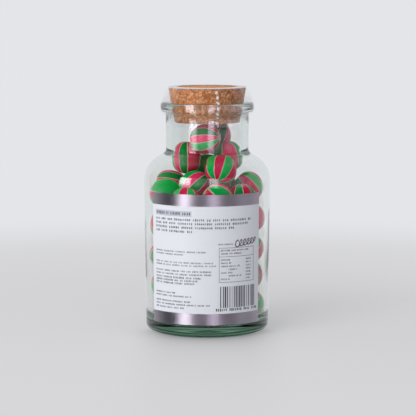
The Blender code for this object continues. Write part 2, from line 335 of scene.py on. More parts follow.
def glass_surface():
    """The jar's outline spun about its axis, with low waves in the inside of the wall.

    A wave is a sine of count x angle + height / length, and the waves fade towards the axis.
    """
    outline = finely(rounded(jar_inside() + jar_outside(), FINE_SAG), GLASS_STEP)
    radius, height = outline[1:-1, :1], outline[1:-1, 1:]
    angle = math.tau * np.arange(GLASS_SIDES) / GLASS_SIDES
    rows = np.arange(len(radius))[:, None]
    inside = rows < outline[:, 1].argmax() - MOUTH_ROWS
    inside = inside & (height < CORK_BOTTOM_Z - CORK_CLEARANCE)
    swell = sum(
        tall * np.sin(count * angle + height / (length * MM) + start)
        for tall, count, length, start in GLASS_WAVES
    )
    fade = np.clip(radius / WAVES_FULL_R, 0, 1)
    grid = spun(radius + swell * MM * fade * inside, height, angle[None])
    return shell(grid, (0, 0, outline[0, 1]), (0, 0, outline[-1, 1]))


def glass_finish():
    """Clear glass, green in its depth and darker round its thick foot, that lets lamps through."""
    made, wire, shader = finish("clear_glass", Roughness=0.0, IOR=1.5, Transmission_Weight=1.0)
    out = made.node_tree.nodes["Material Output"]
    x, y, height = wire.place()
    foot = height.rise(*FOOT_TINT_Z) * ((x * x + y * y) ** 0.5).rise(*FOOT_TINT_R)
    streak = wire.noise(wire.place(12, 12, 1300), 1.0).rise(0.35, 0.65)
    wire.feed(shader, "Base Color", foot.blend(WHITE, streak.blend(*FOOT_GREENS)))
    lamps = wire.node("ShaderNodeLightPath", output="Is Shadow Ray")
    through = wire.node("ShaderNodeBsdfTransparent", None, {"Color": SHADOW_TINT})
    mixed = {"Fac": lamps, 1: Wire(wire.tree, shader.outputs[0]), 2: through}
    wire.feed(out, "Surface", wire.node("ShaderNodeMixShader", None, mixed))
    depth = {"Color": DEPTH_TINT, "Density": DEPTH_DENSITY}
    wire.feed(out, "Volume", wire.node("ShaderNodeVolumeAbsorption", None, depth))
    return made


piece("glass_jar", *glass_surface(), glass_finish(), "glass", "jar", sharp=40)

# The boiled sweets
# Loose barrels of hard boiled sugar, pulled in crimson and green stripes with a thin cream line
# between them, and pinched off at both ends. They fill the jar as they were dropped in.

SWEET_R_RANGE = (8.9 * MM, 9.6 * MM)
SWEET_LENGTH_RANGE = (0.95, 1.08)
SWEET_FULLNESS = 0.82
SEED = 6
LAYERS = 6
LAYER_PITCH = 15.8 * MM
WALL_RING_R = 25.6 * MM
WALL_COUNT = 8
INNER_RING_R = 8.6 * MM
INNER_COUNT = 2
INNER_LIFT = 0.45 * LAYER_PITCH
HEAP_TOP_Z = 90 * MM
NEAREST_START = 14.0 * MM
JITTER = 1.2 * MM
PACKED_SHARE = 0.985
TOUCHING_GAP = 0.1 * MM
SETTLE_STEPS = 300
SETTLE_SINK = 0.12 * MM
PUSHES = 3
PUSH_SHARE = 0.8
BULK_STEPS = 40
WALL_SAG = 0.2 * MM
TOUCH = 1e-6
SWEET_SIDES = 48
SWEET_RINGS = 24
STRIPES = 8
NARROWEST = 0.35
MOST_TWIST = 0.25

# How uneven a sweet is, as shares of its radius, and how its ends are dimpled
OVAL = 0.014
DENT = 0.010
RIB = 0.008
TRIM = 0.012
SLANT = 0.03
DIMPLE = 0.06
DIMPLE_R = 1.3 * MM
END_SHARE = 0.93

# Sweets seen best: middle (mm), girth radius and half length (mm), way of the axis, then which
# stripe faces the front, and how much narrower the stripes are at the front and at the side
SHOWN_SWEETS = (
    ((-1.0, -9.8, 117.4), 8.6, 9.1, (1.0, -0.5, 0.15), 2.7, 0.4, 0.0),
    ((6.8, 9.4, 117.2), 8.6, 8.4, (0.4, 0.2, 0.9), 3.2, 0.3, 0.0),
    ((-12.5, -1.7, 105.3), 9.1, 9.7, (0.02, 0.0, 1.0), 1.85, 0.17, -0.7),
    ((12.9, -1.5, 106.3), 8.7, 9.1, (-0.3, 0.0, 1.0), 2.3, -0.3, 0.3),
    ((8.0, -16.1, 98.8), 9.6, 8.7, (-0.25, -0.6, -0.72), 2.05, 0.3, 0.0),
    ((-1.0, 14.0, 99.0), 9.4, 9.2, (0.5, 0.5, 0.7), 1.5, -0.5, 0.0),
    ((-23.4, 11.3, 88.4), 9.0, 9.6, (1.0, 0.0, -0.18), 2.6, 0.1, -0.3),
    ((-24.7, -6.6, 83.6), 9.3, 9.3, (1.0, -0.1, -0.25), 2.1, 0.0, 0.7),
    ((-6.4, -7.2, 87.7), 9.3, 9.3, (-0.4, -0.3, 0.85), 3.4, 0.4, 0.0),
    ((-12.8, -22.1, 78.3), 9.3, 9.3, (0.1, -0.5, 0.85), 2.9, 0.3, 0.0),
    ((6.2, -24.7, 82.0), 9.4, 9.4, (-0.62, -0.2, 0.75), 0.9, -0.35, 0.0),
    ((26.0, 3.2, 86.4), 9.3, 9.3, (-0.45, -0.64, 0.62), 2.2, 0.3, 0.0),
    ((20.5, -14.3, 81.0), 9.2, 9.2, (-0.1, -0.3, 0.95), 3.8, 0.3, 0.0),
    ((26.2, -1.5, 68.4), 9.3, 8.8, (0.1, 0.2, 1.0), 1.5, 0.0, 0.0),
    ((25.6, -5.3, 50.2), 9.2, 8.8, (0.6, 0.3, 0.7), 3.5, 0.0, 0.0),
    ((26.0, 1.5, 33.0), 9.0, 8.6, (0.2, -0.5, 0.8), 5.0, 0.0, 0.0),
    ((25.2, -5.6, 16.0), 9.2, 8.8, (0.3, 0.6, 0.7), 2.5, 0.0, 0.0),
    ((-26.0, -2.9, 64.5), 9.3, 8.8, (0.2, 0.4, 0.9), 3.5, 0.0, 0.0),
    ((-25.9, -2.9, 45.6), 9.3, 8.8, (0.7, 0.3, 0.6), 4.5, 0.0, 0.0),
    ((-25.6, -2.9, 26.9), 9.3, 8.8, (0.1, -0.4, 0.9), 0.5, 0.0, 0.0),
)

# Sweets that are turned and shifted once the heap lies: number, way of the axis, shift (mm)
TURNED_SWEETS = (
    (5, (0.5, 0.5, 0.7), (0.0, 0.0, 1.2)),
    (8, (0.7, 0.1, 0.65), (-0.8, 0.5, 1.0)),
    (9, (0.1, 0.3, 0.95), (0.0, 0.0, 1.4)),
    (11, (-0.72, 0.1, 0.68), (0.0, 0.0, 0.5)),
    (12, (-0.1, 0.15, 0.98), (0.0, 0.0, 0.0)),
    (51, (0.3, 0.2, 0.9), (1.2, 5.2, 9.8)),
)


def glass_clearance(places):
    """Each place as (radius, height), how far it is from the jar's inside, and the way from it."""
    wall = rounded(jar_inside() + [(0.0, CORK_BOTTOM_Z - GAP, 0.0)], WALL_SAG)
    start = wall[:-1]
    run = wall[1:] - start
    flat = np.sqrt(places[:, 0] ** 2 + places[:, 1] ** 2) + TOUCH
    seen = np.stack([flat, places[:, 2]], axis=1)
    share = ((seen[:, None] - start) * run).sum(-1) / (run * run).sum(-1)
    foot = start + np.clip(share, 0.0, 1.0)[..., None] * run
    away = seen[:, None] - foot
    far = np.sqrt((away**2).sum(-1))
    pick = (np.arange(len(places)), far.argmin(1))
    return seen, far[pick], away[pick] / far[pick][:, None]


def sweet_bulk(sizes, lean):
    """How far each sweet reaches along a way that has lean for its cosine with the sweet's axis."""
    angles = np.linspace(0, math.pi / 2, BULK_STEPS + 1)
    across = sizes[:, :1] * np.sin(angles) ** SWEET_FULLNESS * np.sqrt(1 - lean[:, None] ** 2)
    along = sizes[:, 1:] * np.cos(angles) * np.abs(lean[:, None])
    return (across + along).max(1)


def settle(places, sizes, axes, held, sink):
    """Push sweets apart and off the glass until they only touch, while loose ones sink a little.

    Held ones move only off the glass. Places are rounded at each step, so that every machine
    reaches the same heap.
    """
    reach = (2 * sizes[:, 0] + sizes[:, 1]) / 3 * PACKED_SHARE
    loose = np.where(held, 0.0, 1.0)
    share = loose[:, None] / np.maximum(loose[:, None] + loose[None], TOUCH)
    np.fill_diagonal(share, 0.0)
    for step in range(SETTLE_STEPS):
        places[:, 2] -= sink * (1 - step / SETTLE_STEPS) * loose
        for _ in range(PUSHES):
            apart = places[:, None] - places[None]
            far = np.sqrt((apart**2).sum(-1)) + TOUCH
            short = np.clip(reach[:, None] + reach[None] + TOUCHING_GAP - far, 0.0, None)
            push = apart / far[..., None] * (short * share)[..., None]
            places += PUSH_SHARE * push.sum(1)
            seen, clear, way = glass_clearance(places)
            level = places[:, :2] / seen[:, :1] * way[:, :1]
            lean = (np.hstack([level, way[:, 1:]]) * axes).sum(1)
            need = np.clip(sweet_bulk(sizes, lean) + GAP - clear, 0.0, None)
            moved = seen + way * need[:, None]
            places[:, :2] *= (moved[:, 0] / seen[:, 0])[:, None]
            places[:, 2] = moved[:, 1]
        places = np.round(places, 7)
    return places


def heap():
    """Middles, sizes and axes of all the sweets: those seen best, then layers of the rest."""
    draw = np.random.default_rng(SEED)
    shown = np.array([row[0] for row in SHOWN_SWEETS]) * MM
    sizes = [(row[1] * MM, row[2] * MM) for row in SHOWN_SWEETS]
    axes = [row[3] for row in SHOWN_SWEETS]
    starts = []
    for layer in range(LAYERS):
        height = FLOOR_Z + SWEET_R_RANGE[1] + LAYER_PITCH * layer
        for radius, count, lift in (
            (WALL_RING_R, WALL_COUNT, 0.0),
            (INNER_RING_R, INNER_COUNT, INNER_LIFT),
        ):
            turn = draw.uniform(0, math.tau)
            for k in range(count):
                angle = turn + math.tau * k / count
                rise = lift + draw.uniform(-JITTER, JITTER)
                starts.append((radius * math.cos(angle), radius * math.sin(angle), height + rise))
    starts = np.array([s for s in starts if s[2] < HEAP_TOP_Z])
    nearest = np.sqrt(((starts[:, None] - shown[None]) ** 2).sum(-1)).min(1)
    starts = starts[nearest > NEAREST_START]
    for _ in starts:
        girth = draw.uniform(*SWEET_R_RANGE)
        sizes.append((girth, girth * draw.uniform(*SWEET_LENGTH_RANGE)))
        axes.append(tuple(draw.normal(size=3)))
    sizes = np.array(sizes)
    axes = np.array(axes) / np.linalg.norm(axes, axis=1)[:, None]
    held = np.arange(len(sizes)) < len(shown)
    places = np.vstack([shown, starts])
    for sink in (SETTLE_SINK, 0.0):
        places = settle(places, sizes, axes, held, sink)
    for row, way, shift in TURNED_SWEETS:
        axes[row] = way / np.linalg.norm(way)
        places[row] += np.array(shift) * MM
    return places, sizes, axes


def sweet_surfaces():
    """Every sweet as a barrel: radius girth sin(v)^fullness at height half cos(v) on its axis.

    Low waves round it make each one uneven, and the ends are dimpled where it was pinched off.
    The UV map counts the stripes round it, and goes from end to end. All of them are one mesh.
    """
    middle, size, along = heap()
    count = len(middle)
    draw = np.random.default_rng(SEED + 1)
    front = np.tile((0.0, -1.0, 0.0), (count, 1))
    known = np.array([row[4:] for row in SHOWN_SWEETS])
    low = (0, -NARROWEST, -NARROWEST)
    high = (STRIPES, NARROWEST, NARROWEST)
    drawn = draw.uniform(low, high, (count - len(known), 3))
    stripe, ahead, beside = np.vstack([known, drawn]).T[..., None]
    phase = draw.uniform(0, math.tau, (4, count, 1, 1))
    twist = draw.uniform(-MOST_TWIST, MOST_TWIST, count)
    facing = front - (front * along).sum(1)[:, None] * along
    facing /= np.linalg.norm(facing, axis=1)[:, None]
    aside = np.cross(along, facing)
    down = math.pi * np.arange(1, SWEET_RINGS) / SWEET_RINGS
    turn = math.tau * np.arange(SWEET_SIDES + 1) / SWEET_SIDES
    u, v = turn[None, None, :-1], down[None, :, None]
    girth, half = size[:, 0, None, None], size[:, 1, None, None]
    radius = girth * np.sin(v) ** SWEET_FULLNESS
    wave = OVAL * np.sin(2 * u + phase[0])
    radius = radius * (1 + wave + DENT * np.sin(3 * u + phase[1] + 2 * v))
    radius = radius * (1 - TRIM + RIB * np.sin(STRIPES * u + phase[2]))
    height = half * np.cos(v) * (1 - DIMPLE * np.exp(-((radius / DIMPLE_R) ** 2)))
    height = (height + SLANT * radius * np.sin(u + phase[3]) * np.cos(v))[..., None]
    ring = facing[:, None, None] * np.cos(u)[..., None]
    ring = (ring + aside[:, None, None] * np.sin(u)[..., None]) * radius[..., None]
    grid = middle[:, None, None] + ring + along[:, None, None] * height
    ends = size[:, 1, None] * np.array([[END_SHARE, -END_SHARE]])
    poles = middle[:, None] + along[:, None] * ends[..., None]
    points = np.concatenate([grid.reshape(count, -1, 3), poles], axis=1)
    _, quads, fans = shell(grid[0], poles[0, 0], poles[0, 1])
    start = (np.arange(count) * points.shape[1])[:, None, None]
    faces = (quads + start).reshape(-1, 4), (fans + start).reshape(-1, 3)
    narrowing = ahead * np.sin(turn) + beside * (1 - np.cos(turn))
    across = STRIPES / math.tau * (turn + narrowing) + stripe
    return points.reshape(-1, 3), *faces, stripe_map(across, down / math.pi, twist), count


def stripe_map(across, length, twist):
    """UV of every face corner, in the order of all the four-sided faces and then all the fans."""
    count, columns = across.shape
    rows = len(length)
    left, right = across[:, None, :-1], across[:, None, 1:]
    lean = twist[:, None, None] * (length[None, :, None] - 0.5)
    over, under = lean[:, :-1], lean[:, 1:]
    u = np.stack([left + over, left + under, right + under, right + over], -1)
    high, low = length[:-1, None], length[1:, None]
    v = np.broadcast_to(np.stack([high, low, low, high], -1), (count, rows - 1, columns - 1, 4))
    quads = np.stack([u, v], -1).reshape(count, -1, 2)
    left, right = across[:, :-1] + lean[:, 0], across[:, 1:] + lean[:, 0]
    end = np.zeros_like(left)
    near, far = end + length[0], end + length[-1]
    first = np.stack([(left + right) / 2, end, left, near, right, near], -1)
    left, right = across[:, :-1] + lean[:, -1], across[:, 1:] + lean[:, -1]
    last = np.stack([right, far, left, far, (left + right) / 2, end + 1], -1)
    fans = np.concatenate([first.reshape(count, -1, 2), last.reshape(count, -1, 2)], axis=1)
    return np.concatenate([quads.reshape(-1, 2), fans.reshape(-1, 2)])


MEAN_GIRTH_R = 9.25
MEAN_LENGTH = 19.0
LINE_REACH = (0.36, 0.16)
SPOT_REACH = (1.0, 0.55)
REDS = (tone(190, 8, 50), tone(244, 44, 106))
GREENS = (tone(0, 100, 36), tone(0, 194, 84))
CREAM = tone(214, 196, 172)
PINCHED = tone(196, 176, 160)


def sweet_finish():
    """Crimson and green stripes with cream lines between, and a pale pinched spot at each end.

    Reaches are in mm from a stripe's edge or an end: where the pale part begins, and is full.
    """
    made, wire, shader = finish("striped_sugar", IOR=1.5, Specular_IOR_Level=0.22)
    uv = wire.node("ShaderNodeUVMap", {"uv_map": "stripes"})
    across, length = [wire.node("ShaderNodeSeparateXYZ", None, {0: uv}, i) for i in range(2)]
    number = wire.node("ShaderNodeAttribute", {"attribute_name": "tone"}, None, "Fac")
    around = wire.maths("SINE", length * math.pi).most(0.001) ** SWEET_FULLNESS
    width = around * (MEAN_GIRTH_R * math.tau / STRIPES)
    cloud = wire.noise(wire.place(1, 1, 1), 420.0)
    across = across + (cloud - 0.5) * 0.10
    stripe = wire.maths("FLOOR", across) % STRIPES
    inside = across % 1.0
    edge = inside.least(1 - inside) * width
    drawn = {"W": stripe + number * 53.7}
    lot = wire.node("ShaderNodeTexWhiteNoise", {"noise_dimensions": "1D"}, drawn)
    pulled = {0: across * 9.0, 1: length * 1.5, 2: number * 31}
    fine = wire.noise(wire.node("ShaderNodeCombineXYZ", None, pulled), 1.0, 3.0)
    shade = (lot * 0.75 + fine * 0.35).rise(0.05, 0.95)
    stripes = (stripe % 2.0).rise(0.4, 0.6).blend(shade.blend(*REDS), shade.blend(*GREENS))
    line = edge.rise(*LINE_REACH)
    spot = (length.least(1 - length) * MEAN_LENGTH).rise(*SPOT_REACH)
    color = spot.blend(line.blend(stripes, CREAM), PINCHED)
    wire.feed(shader, "Base Color", color)
    wire.feed(shader, "Roughness", fine * 0.10 + 0.08)
    ribs = fine * 0.6 + (1 - line) * 0.5
    wire.feed(shader, "Normal", wire.bump(ribs, 0.35, 0.25 * MM))
    return made


def mark_points(thing, name, values):
    """Keep one number for every point of a piece, which its finish reads by name."""
    layer = thing.data.attributes.new(name, "FLOAT", "POINT")
    layer.data.foreach_set("value", values.astype(np.float32))


points, quads, fans, stripe_uv, sweet_count = sweet_surfaces()
sweets =piece("striped_sweets", points, quads, fans, sweet_finish(), "sweets", "sweets")
stripe_layer = sweets.data.uv_layers.new(name="stripes")
stripe_layer.data.foreach_set("uv", stripe_uv.ravel().astype(np.float32))
tones = np.repeat(np.arange(sweet_count) / sweet_count, len(points) // sweet_count)
mark_points(sweets, "tone", tones)

# The cork
# A tapered stopper pressed from cork granules, proud of the lip. Its faces are cut, so pits are
# open where granules tore out, with dark bark flecks among the tan ones.

CORK_SIDES = 180
CORK_STEP = 0.75 * MM
CORK_ROUND = 0.8 * MM
CORK_SEED = 21
PIT_COUNT = 260
PIT_WIDTHS = (0.5, 1.3)
PIT_DEPTHS = (0.12, 0.45)
PIT_SQUASHES = (0.5, 1.0)
CUT_DEPTH = 0.05
CUT_GRAIN = 0.04
GRAIN_WAYS = ((2900, 1700, 2300), (-1300, 2600, 1900))


def cork_surface():
    """The cork's outline spun about its axis, with pits pressed into it and a fine cut grain.

    A pit is depth (1 - (distance / width)^2)^2 deep, and the grain is a product of two sines.
    Nothing is raised above the outline.
    """
    corners = [
        (0.0, CORK_TOP_Z, 0.0),
        (CORK_TOP_R, CORK_TOP_Z, CORK_ROUND),
        (CORK_BOTTOM_R, CORK_BOTTOM_Z, CORK_ROUND),
        (0.0, CORK_BOTTOM_Z, 0.0),
    ]
    outline = finely(rounded(corners, FINE_SAG), CORK_STEP)
    angle = math.tau * np.arange(CORK_SIDES) / CORK_SIDES
    grid = spun(outline[1:-1, :1], outline[1:-1, 1:], angle[None])
    along = np.gradient(outline, axis=0)[1:-1]
    out = np.stack([-along[:, 1], along[:, 0]], -1) / np.linalg.norm(along, axis=1)[:, None]
    normal = spun(out[:, :1], out[:, 1:], angle[None])
    draw = np.random.default_rng(CORK_SEED)
    flat = grid.reshape(-1, 3)
    middle = flat[draw.integers(0, len(flat), PIT_COUNT)]
    width = draw.uniform(*PIT_WIDTHS, PIT_COUNT) * MM
    depth = draw.uniform(*PIT_DEPTHS, PIT_COUNT) * MM
    squash = draw.uniform(*PIT_SQUASHES, (PIT_COUNT, 3))
    off = (flat[:, None] - middle[None]) / (width[:, None] * squash)[None]
    well = np.clip(1 - (off**2).sum(-1), 0, 1) ** 2
    pit = (well * depth).max(1).reshape(grid.shape[:2])
    first, second = [np.sin(flat @ way) for way in GRAIN_WAYS]
    grain = (CUT_GRAIN * first * second).reshape(grid.shape[:2])
    sunk = pit + (CUT_DEPTH + grain) * MM
    top = (0, 0, CORK_TOP_Z - CUT_DEPTH * MM)
    bottom = (0, 0, CORK_BOTTOM_Z + CUT_DEPTH * MM)
    points, quads, fans = shell(grid - normal * sunk[..., None], top, bottom)
    return points, quads, fans, np.append(well.max(1), (0, 0))


GRANULES_EACH_M = 560.0
GRANULE_PUSH = 2.2 * MM
GRANULE_TONES = (
    (0.0, tone(120, 60, 32)),
    (0.10, tone(190, 112, 66)),
    (0.45, tone(226, 150, 98)),
    (0.8, tone(240, 174, 122)),
    (1.0, tone(250, 204, 160)),
)
BARK = tone(72, 38, 24)


def pushed(wire, spot):
    """The place pushed a little at random in all three ways, so that the granules aren't even."""
    noise = wire.node("ShaderNodeTexNoise", None, {"Vector": spot, "Scale": 700.0}, "Color")
    half = {0: noise, 1: (0.5, 0.5, 0.5)}
    way = wire.node("ShaderNodeVectorMath", {"operation": "SUBTRACT"}, half)
    push = {0: way, 1: (GRANULE_PUSH, GRANULE_PUSH, GRANULE_PUSH), 2: spot}
    return wire.node("ShaderNodeVectorMath", {"operation": "MULTIPLY_ADD"}, push)


def cork_finish():
    """Granules as cells of mixed tan and brown, with dark seams, bark flecks and painted shade in
    the pits.
    """
    made, wire, shader = finish("pressed_cork", Specular_IOR_Level=0.25)
    spot = wire.place(1, 1, 1)
    warp = wire.noise(spot, 500.0, 3.0)
    grains = {"Vector": pushed(wire, spot), "Scale": GRANULES_EACH_M}
    cells = wire.node("ShaderNodeTexVoronoi", None, grains, "Color")
    pick = wire.node("ShaderNodeSeparateColor", None, {0: cells}) * 0.7 + warp * 0.35
    granule = wire.node("ShaderNodeValToRGB", {"stops": GRANULE_TONES}, {0: pick})
    seams = wire.node("ShaderNodeTexVoronoi", {"feature": "DISTANCE_TO_EDGE"}, grains)
    seam = seams.rise(0.10, 0.02) * 0.6
    # painted shade: the colour darkens in the pits, where shade falls in the hollows
    pit_shade = wire.node("ShaderNodeAttribute", {"attribute_name": "pit"}, None, "Fac").rise(0.1, 0.9)
    fleck = wire.noise(spot, 900.0, 2.0).rise(0.66, 0.74) * 0.8
    dark = seam.most(pit_shade * 0.75).most(fleck)
    wire.feed(shader, "Base Color", dark.blend(granule, BARK))
    wire.feed(shader, "Roughness", warp * 0.2 + 0.72)
    wire.feed(shader, "Normal", wire.bump(warp * 0.5 - seam, 0.6, 0.3 * MM))
    return made


points, quads, fans, pit_depth = cork_surface()
cork = piece("pressed_cork", points, quads, fans, cork_finish(), "cork", "cork")
mark_points(cork, "pit", pit_depth)

# The foil label
# A sheet of brushed silver foil stuck two thirds of the way round, with a wide white printed
# panel that leaves a silver band bare along its top and its bottom.

LABEL_BOTTOM_Z = 8.2 * MM
LABEL_TOP_Z = 86.3 * MM
PANEL_BOTTOM_Z = 15.1 * MM
PANEL_TOP_Z = 79.3 * MM
LABEL_LEFT = math.radians(-57.4)
LABEL_RIGHT = math.radians(53.5)
FOIL_INNER = 0.30 * MM
FOIL_OUTER = 0.42 * MM
LABEL_ROWS = 64
LABEL_COLUMNS = 121
BOW = 0.02 * MM
BOW_LENGTH = 6 * MM
PANEL_EDGE = 0.05 * MM
SILVERS = (tone(196, 190, 199), tone(232, 226, 234))
PAPER_WHITES = (tone(222, 224, 231), tone(228, 230, 236))


def label_surface():
    """The sheet's front and back, spun part of the way round the body and joined at their edges.

    The front's radius has a low sine of the height on it, so that the foil isn't quite true.
    """
    height = np.linspace(LABEL_TOP_Z, LABEL_BOTTOM_Z, LABEL_ROWS)
    radius = body_radius(height)
    bow = BOW * np.sin(height / BOW_LENGTH)
    turn = np.linspace(LABEL_LEFT, LABEL_RIGHT, LABEL_COLUMNS) - math.pi / 2
    front = spun((radius + FOIL_OUTER + bow)[:, None], height[:, None], turn[None])
    back = spun((radius + FOIL_INNER)[:, None], height[:, None], turn[None])
    far = LABEL_ROWS * LABEL_COLUMNS
    number = np.arange(far).reshape(LABEL_ROWS, LABEL_COLUMNS)
    corners = number[:-1, :-1], number[1:, :-1], number[1:, 1:], number[:-1, 1:]
    face = np.stack(corners, -1).reshape(-1, 4)
    rim = np.concatenate([number[0], number[1:, -1], number[-1, -2::-1], number[-2:0:-1, 0]])
    after = np.roll(rim, -1)
    edge = np.stack([rim, after, after + far, rim + far], -1)
    quads = np.vstack([face, face[:, ::-1] + far, edge])
    return np.vstack([front.reshape(-1, 3), back.reshape(-1, 3)]), quads, np.zeros((0, 3), int)


def label_finish():
    """Brushed silver foil, with matt white print between the two bare bands."""
    fixed = {"Anisotropic": 0.96, "Anisotropic_Rotation": 0.25, "Specular_IOR_Level": 0.25}
    made, wire, shader = finish("foil_label", **fixed)
    height = wire.place()[2]
    panel = height.rise(PANEL_BOTTOM_Z - PANEL_EDGE, PANEL_BOTTOM_Z + PANEL_EDGE)
    panel = panel * height.rise(PANEL_TOP_Z + PANEL_EDGE, PANEL_TOP_Z - PANEL_EDGE)
    brushed = wire.noise(wire.place(60, 60, 5200), 1.0, 3.0, 0.6)
    paper = wire.noise(wire.place(1, 1, 1), 900.0, 3.0)
    silver = brushed.blend(*SILVERS)
    wire.feed(shader, "Base Color", panel.blend(silver, paper.blend(*PAPER_WHITES)))
    wire.feed(shader, "Metallic", 1 - panel)
    wire.feed(shader, "Roughness", (1 - panel) * (brushed * 0.12 + 0.46) + panel * 0.55)
    relief = (1 - panel) * brushed * 0.25 + paper * 0.1
    wire.feed(shader, "Normal", wire.bump(relief, 0.2, 0.05 * MM))
    return made


piece("foil_label", *label_surface(), label_finish(), "label", "label", sharp=60)

# The print on the label
# Small dark marks in blocks and a ruled table with bars under it, all generic, with a pen
# scribble above the table. Each mark is a film of ink, a hair proud of the white panel.

# Blocks of lines: left end and top line's height (mm), how far apart the lines are, how high and
# how wide a mark is, and where each line ends
TEXT_BLOCKS = (
    (-34.4, 74.8, 3.0, 1.9, 1.02, (-10.4,)),
    (-34.8, 71.2, 2.35, 1.45, 1.20, (28.3, 25.3, 16.7, -7.4)),
    (-34.8, 52.0, 1.75, 1.05, 0.84, (-0.6, -14.3)),
    (-34.8, 45.5, 1.7, 1.05, 0.86, (3.5, 5.1)),
    (-34.9, 40.3, 1.9, 1.15, 0.90, (2.8, 2.4)),
    (-34.9, 36.4, 1.75, 1.25, 0.92, (-4.2, -4.9, -6.7)),
    (-35.0, 27.0, 1.9, 1.05, 0.80, (-20.2, -9.7)),
    (-35.0, 22.0, 1.95, 1.1, 0.84, (-10.2, 1.3, -14.6)),
    (6.7, 56.7, 2.0, 1.0, 0.62, (16.3,)),
    (8.3, 53.0, 1.9, 1.15, 0.74, (26.6, 22.0)),
)
PRINT_SEED = 44
PRINT_DEPTH = 0.02 * MM
RULE_TALL = 0.22
RULE_STEP = 1.5
TICK_REACH = (0.32, 0.5)
TICK_WIDTH = (0.34, 0.62)
HEADING_BOX = (-35.2, -9.4, 74.8, 3.3)
TABLE_BOX = (7.2, 30.7, 34.0, 54.5)
TABLE_RULE_Z = 49.3
TABLE_ROWS = (
    (8.3, 13.8), (8.3, 14.5), (8.3, 20.4), (13.1, 18.6), (8.4, 15.5), (13.1, 21.2), (8.4, 13.8),
)
TABLE_VALUES = (24.8, 28.8)
TABLE_FIRST_Z = 47.4
TABLE_PITCH = 1.93
BAR_BOX = (7.8, 31.6, 18.6, 31.4)
BAR_WIDTHS = (0.3, 0.6, 0.9)
BAR_GAPS = (0.5, 0.75, 1.0)
BAR_SHARES = (0.5, 0.35, 0.15)
TICK_ROW = (5.2, 33.0, 17.4)
LOOPS = 5.5
LOOPS_START = (17.6, 56.8)
LOOPS_RUN = (14.6, 1.4)
LOOP_R = (1.5, 2.1)
LOOP_SHRINK = 0.5
LOOP_LEAN = 0.6
PEN_HALF = 0.28
PEN_STEPS = 150


def mark(left, right, low, high):
    """One plain mark as its four corners, counted round from the lower left, in millimetres."""
    return [(left, low), (right, low), (right, high), (left, high)]


def ticks(draw, left, right, middle, tall, pitch):
    """A line of small upright ticks in groups, which stands for a line of small print."""
    made = []
    place = left
    group = draw.integers(3, 9)
    while place < right:
        if group == 0:
            group = draw.integers(2, 10)
        else:
            low = middle - tall * draw.uniform(*TICK_REACH)
            high = middle + tall * draw.uniform(*TICK_REACH)
            wide = pitch * draw.uniform(*TICK_WIDTH)
            made.append(mark(place, place + wide, low, high))
            group -= 1
        place += pitch
    return made


def rule(left, right, middle, tall):
    """A level rule, cut into short lengths that follow the curve of the label."""
    stops = np.linspace(left, right, max(2, math.ceil((right - left) / RULE_STEP) + 1))
    return [mark(a, b, middle - tall / 2, middle + tall / 2) for a, b in zip(stops, stops[1:])]


def printed_marks():
    """All the marks in dark ink: text lines as ticks, the table's frame and rows, and the bars."""
    draw = np.random.default_rng(PRINT_SEED)
    made = []
    for left, top, pitch, tall, wide, ends in TEXT_BLOCKS:
        for line, end in enumerate(ends):
            made += ticks(draw, left, end, top - pitch * line, tall, wide)
    left, right, low, high = TABLE_BOX
    for height in (low, high, TABLE_RULE_Z):
        made += rule(left, right, height, RULE_TALL)
    for side in (left, right):
        made.append(mark(side - RULE_TALL / 2, side + RULE_TALL / 2, low, high))
    for line, (start, end) in enumerate(TABLE_ROWS):
        height = TABLE_FIRST_Z - TABLE_PITCH * line
        made += ticks(draw, start, end, height, 1.1, 0.72)
        start, end = TABLE_VALUES
        made += ticks(draw, start, end - draw.uniform(0, 1.2), height, 1.1, 0.78)
    left, right, low, high = BAR_BOX
    place = left
    while place < right:
        wide = draw.choice(BAR_WIDTHS, p=BAR_SHARES)
        made.append(mark(place, min(place + wide, right), low, high))
        place += wide + draw.choice(BAR_GAPS, p=BAR_SHARES)
    left, right, middle = TICK_ROW
    made += ticks(draw, left, right, middle, 1.9, 1.2)
    return np.array(made)


def scribble_marks():
    """A pen's loops: a circle that goes round while its middle runs along, and that shrinks."""
    t = np.linspace(0, 1, PEN_STEPS)
    turn = math.tau * LOOPS * t
    arc = LOOPS_START[0] + LOOPS_RUN[0] * t + LOOP_R[0] * np.cos(turn)
    tall = LOOP_R[1] - LOOP_SHRINK * t
    height = LOOPS_START[1] + LOOPS_RUN[1] * t + tall * np.sin(turn + LOOP_LEAN)
    path = np.stack([arc, height], -1)
    way = np.gradient(path, axis=0)
    side = np.stack([-way[:, 1], way[:, 0]], -1) / np.linalg.norm(way, axis=1)[:, None] * PEN_HALF
    right, left = path - side, path + side
    return np.stack([right[:-1], right[1:], left[1:], left[:-1]], 1)


def on_label(arc, height, off):
    """Points at an arc round from the front, measured on the label, and some way off the glass."""
    radius = body_radius(height) + off
    turn = arc / (body_radius(height) + FOIL_OUTER)
    return np.stack([radius * np.sin(turn), -radius * np.cos(turn), height], -1)


def ink_surface(corners, coats):
    """Closed thin blocks over four-cornered marks, each some coats of ink proud of the label."""
    arc, height = corners[..., 0] * MM, corners[..., 1] * MM
    back = on_label(arc, height, FOIL_OUTER - PRINT_DEPTH)
    front = on_label(arc, height, FOIL_OUTER + coats * PRINT_DEPTH)
    points = np.concatenate([front, back], axis=1)
    block = np.array(
        [[0, 1, 2, 3], [7, 6, 5, 4], [0, 4, 5, 1], [1, 5, 6, 2], [2, 6, 7, 3], [3, 7, 4, 0]]
    )
    quads = block[None] + 8 * np.arange(len(corners))[:, None, None]
    return points.reshape(-1, 3), quads.reshape(-1, 4), np.zeros((0, 3), int)


def ink_finish(name, thin, full):
    """Ink that lies a little thicker in some places than in others."""
    made, wire, shader = finish(name, Roughness=0.45)
    spread = wire.noise(wire.place(1, 1, 1), 1500.0)
    wire.feed(shader, "Base Color", spread.blend(thin, full))
    return made


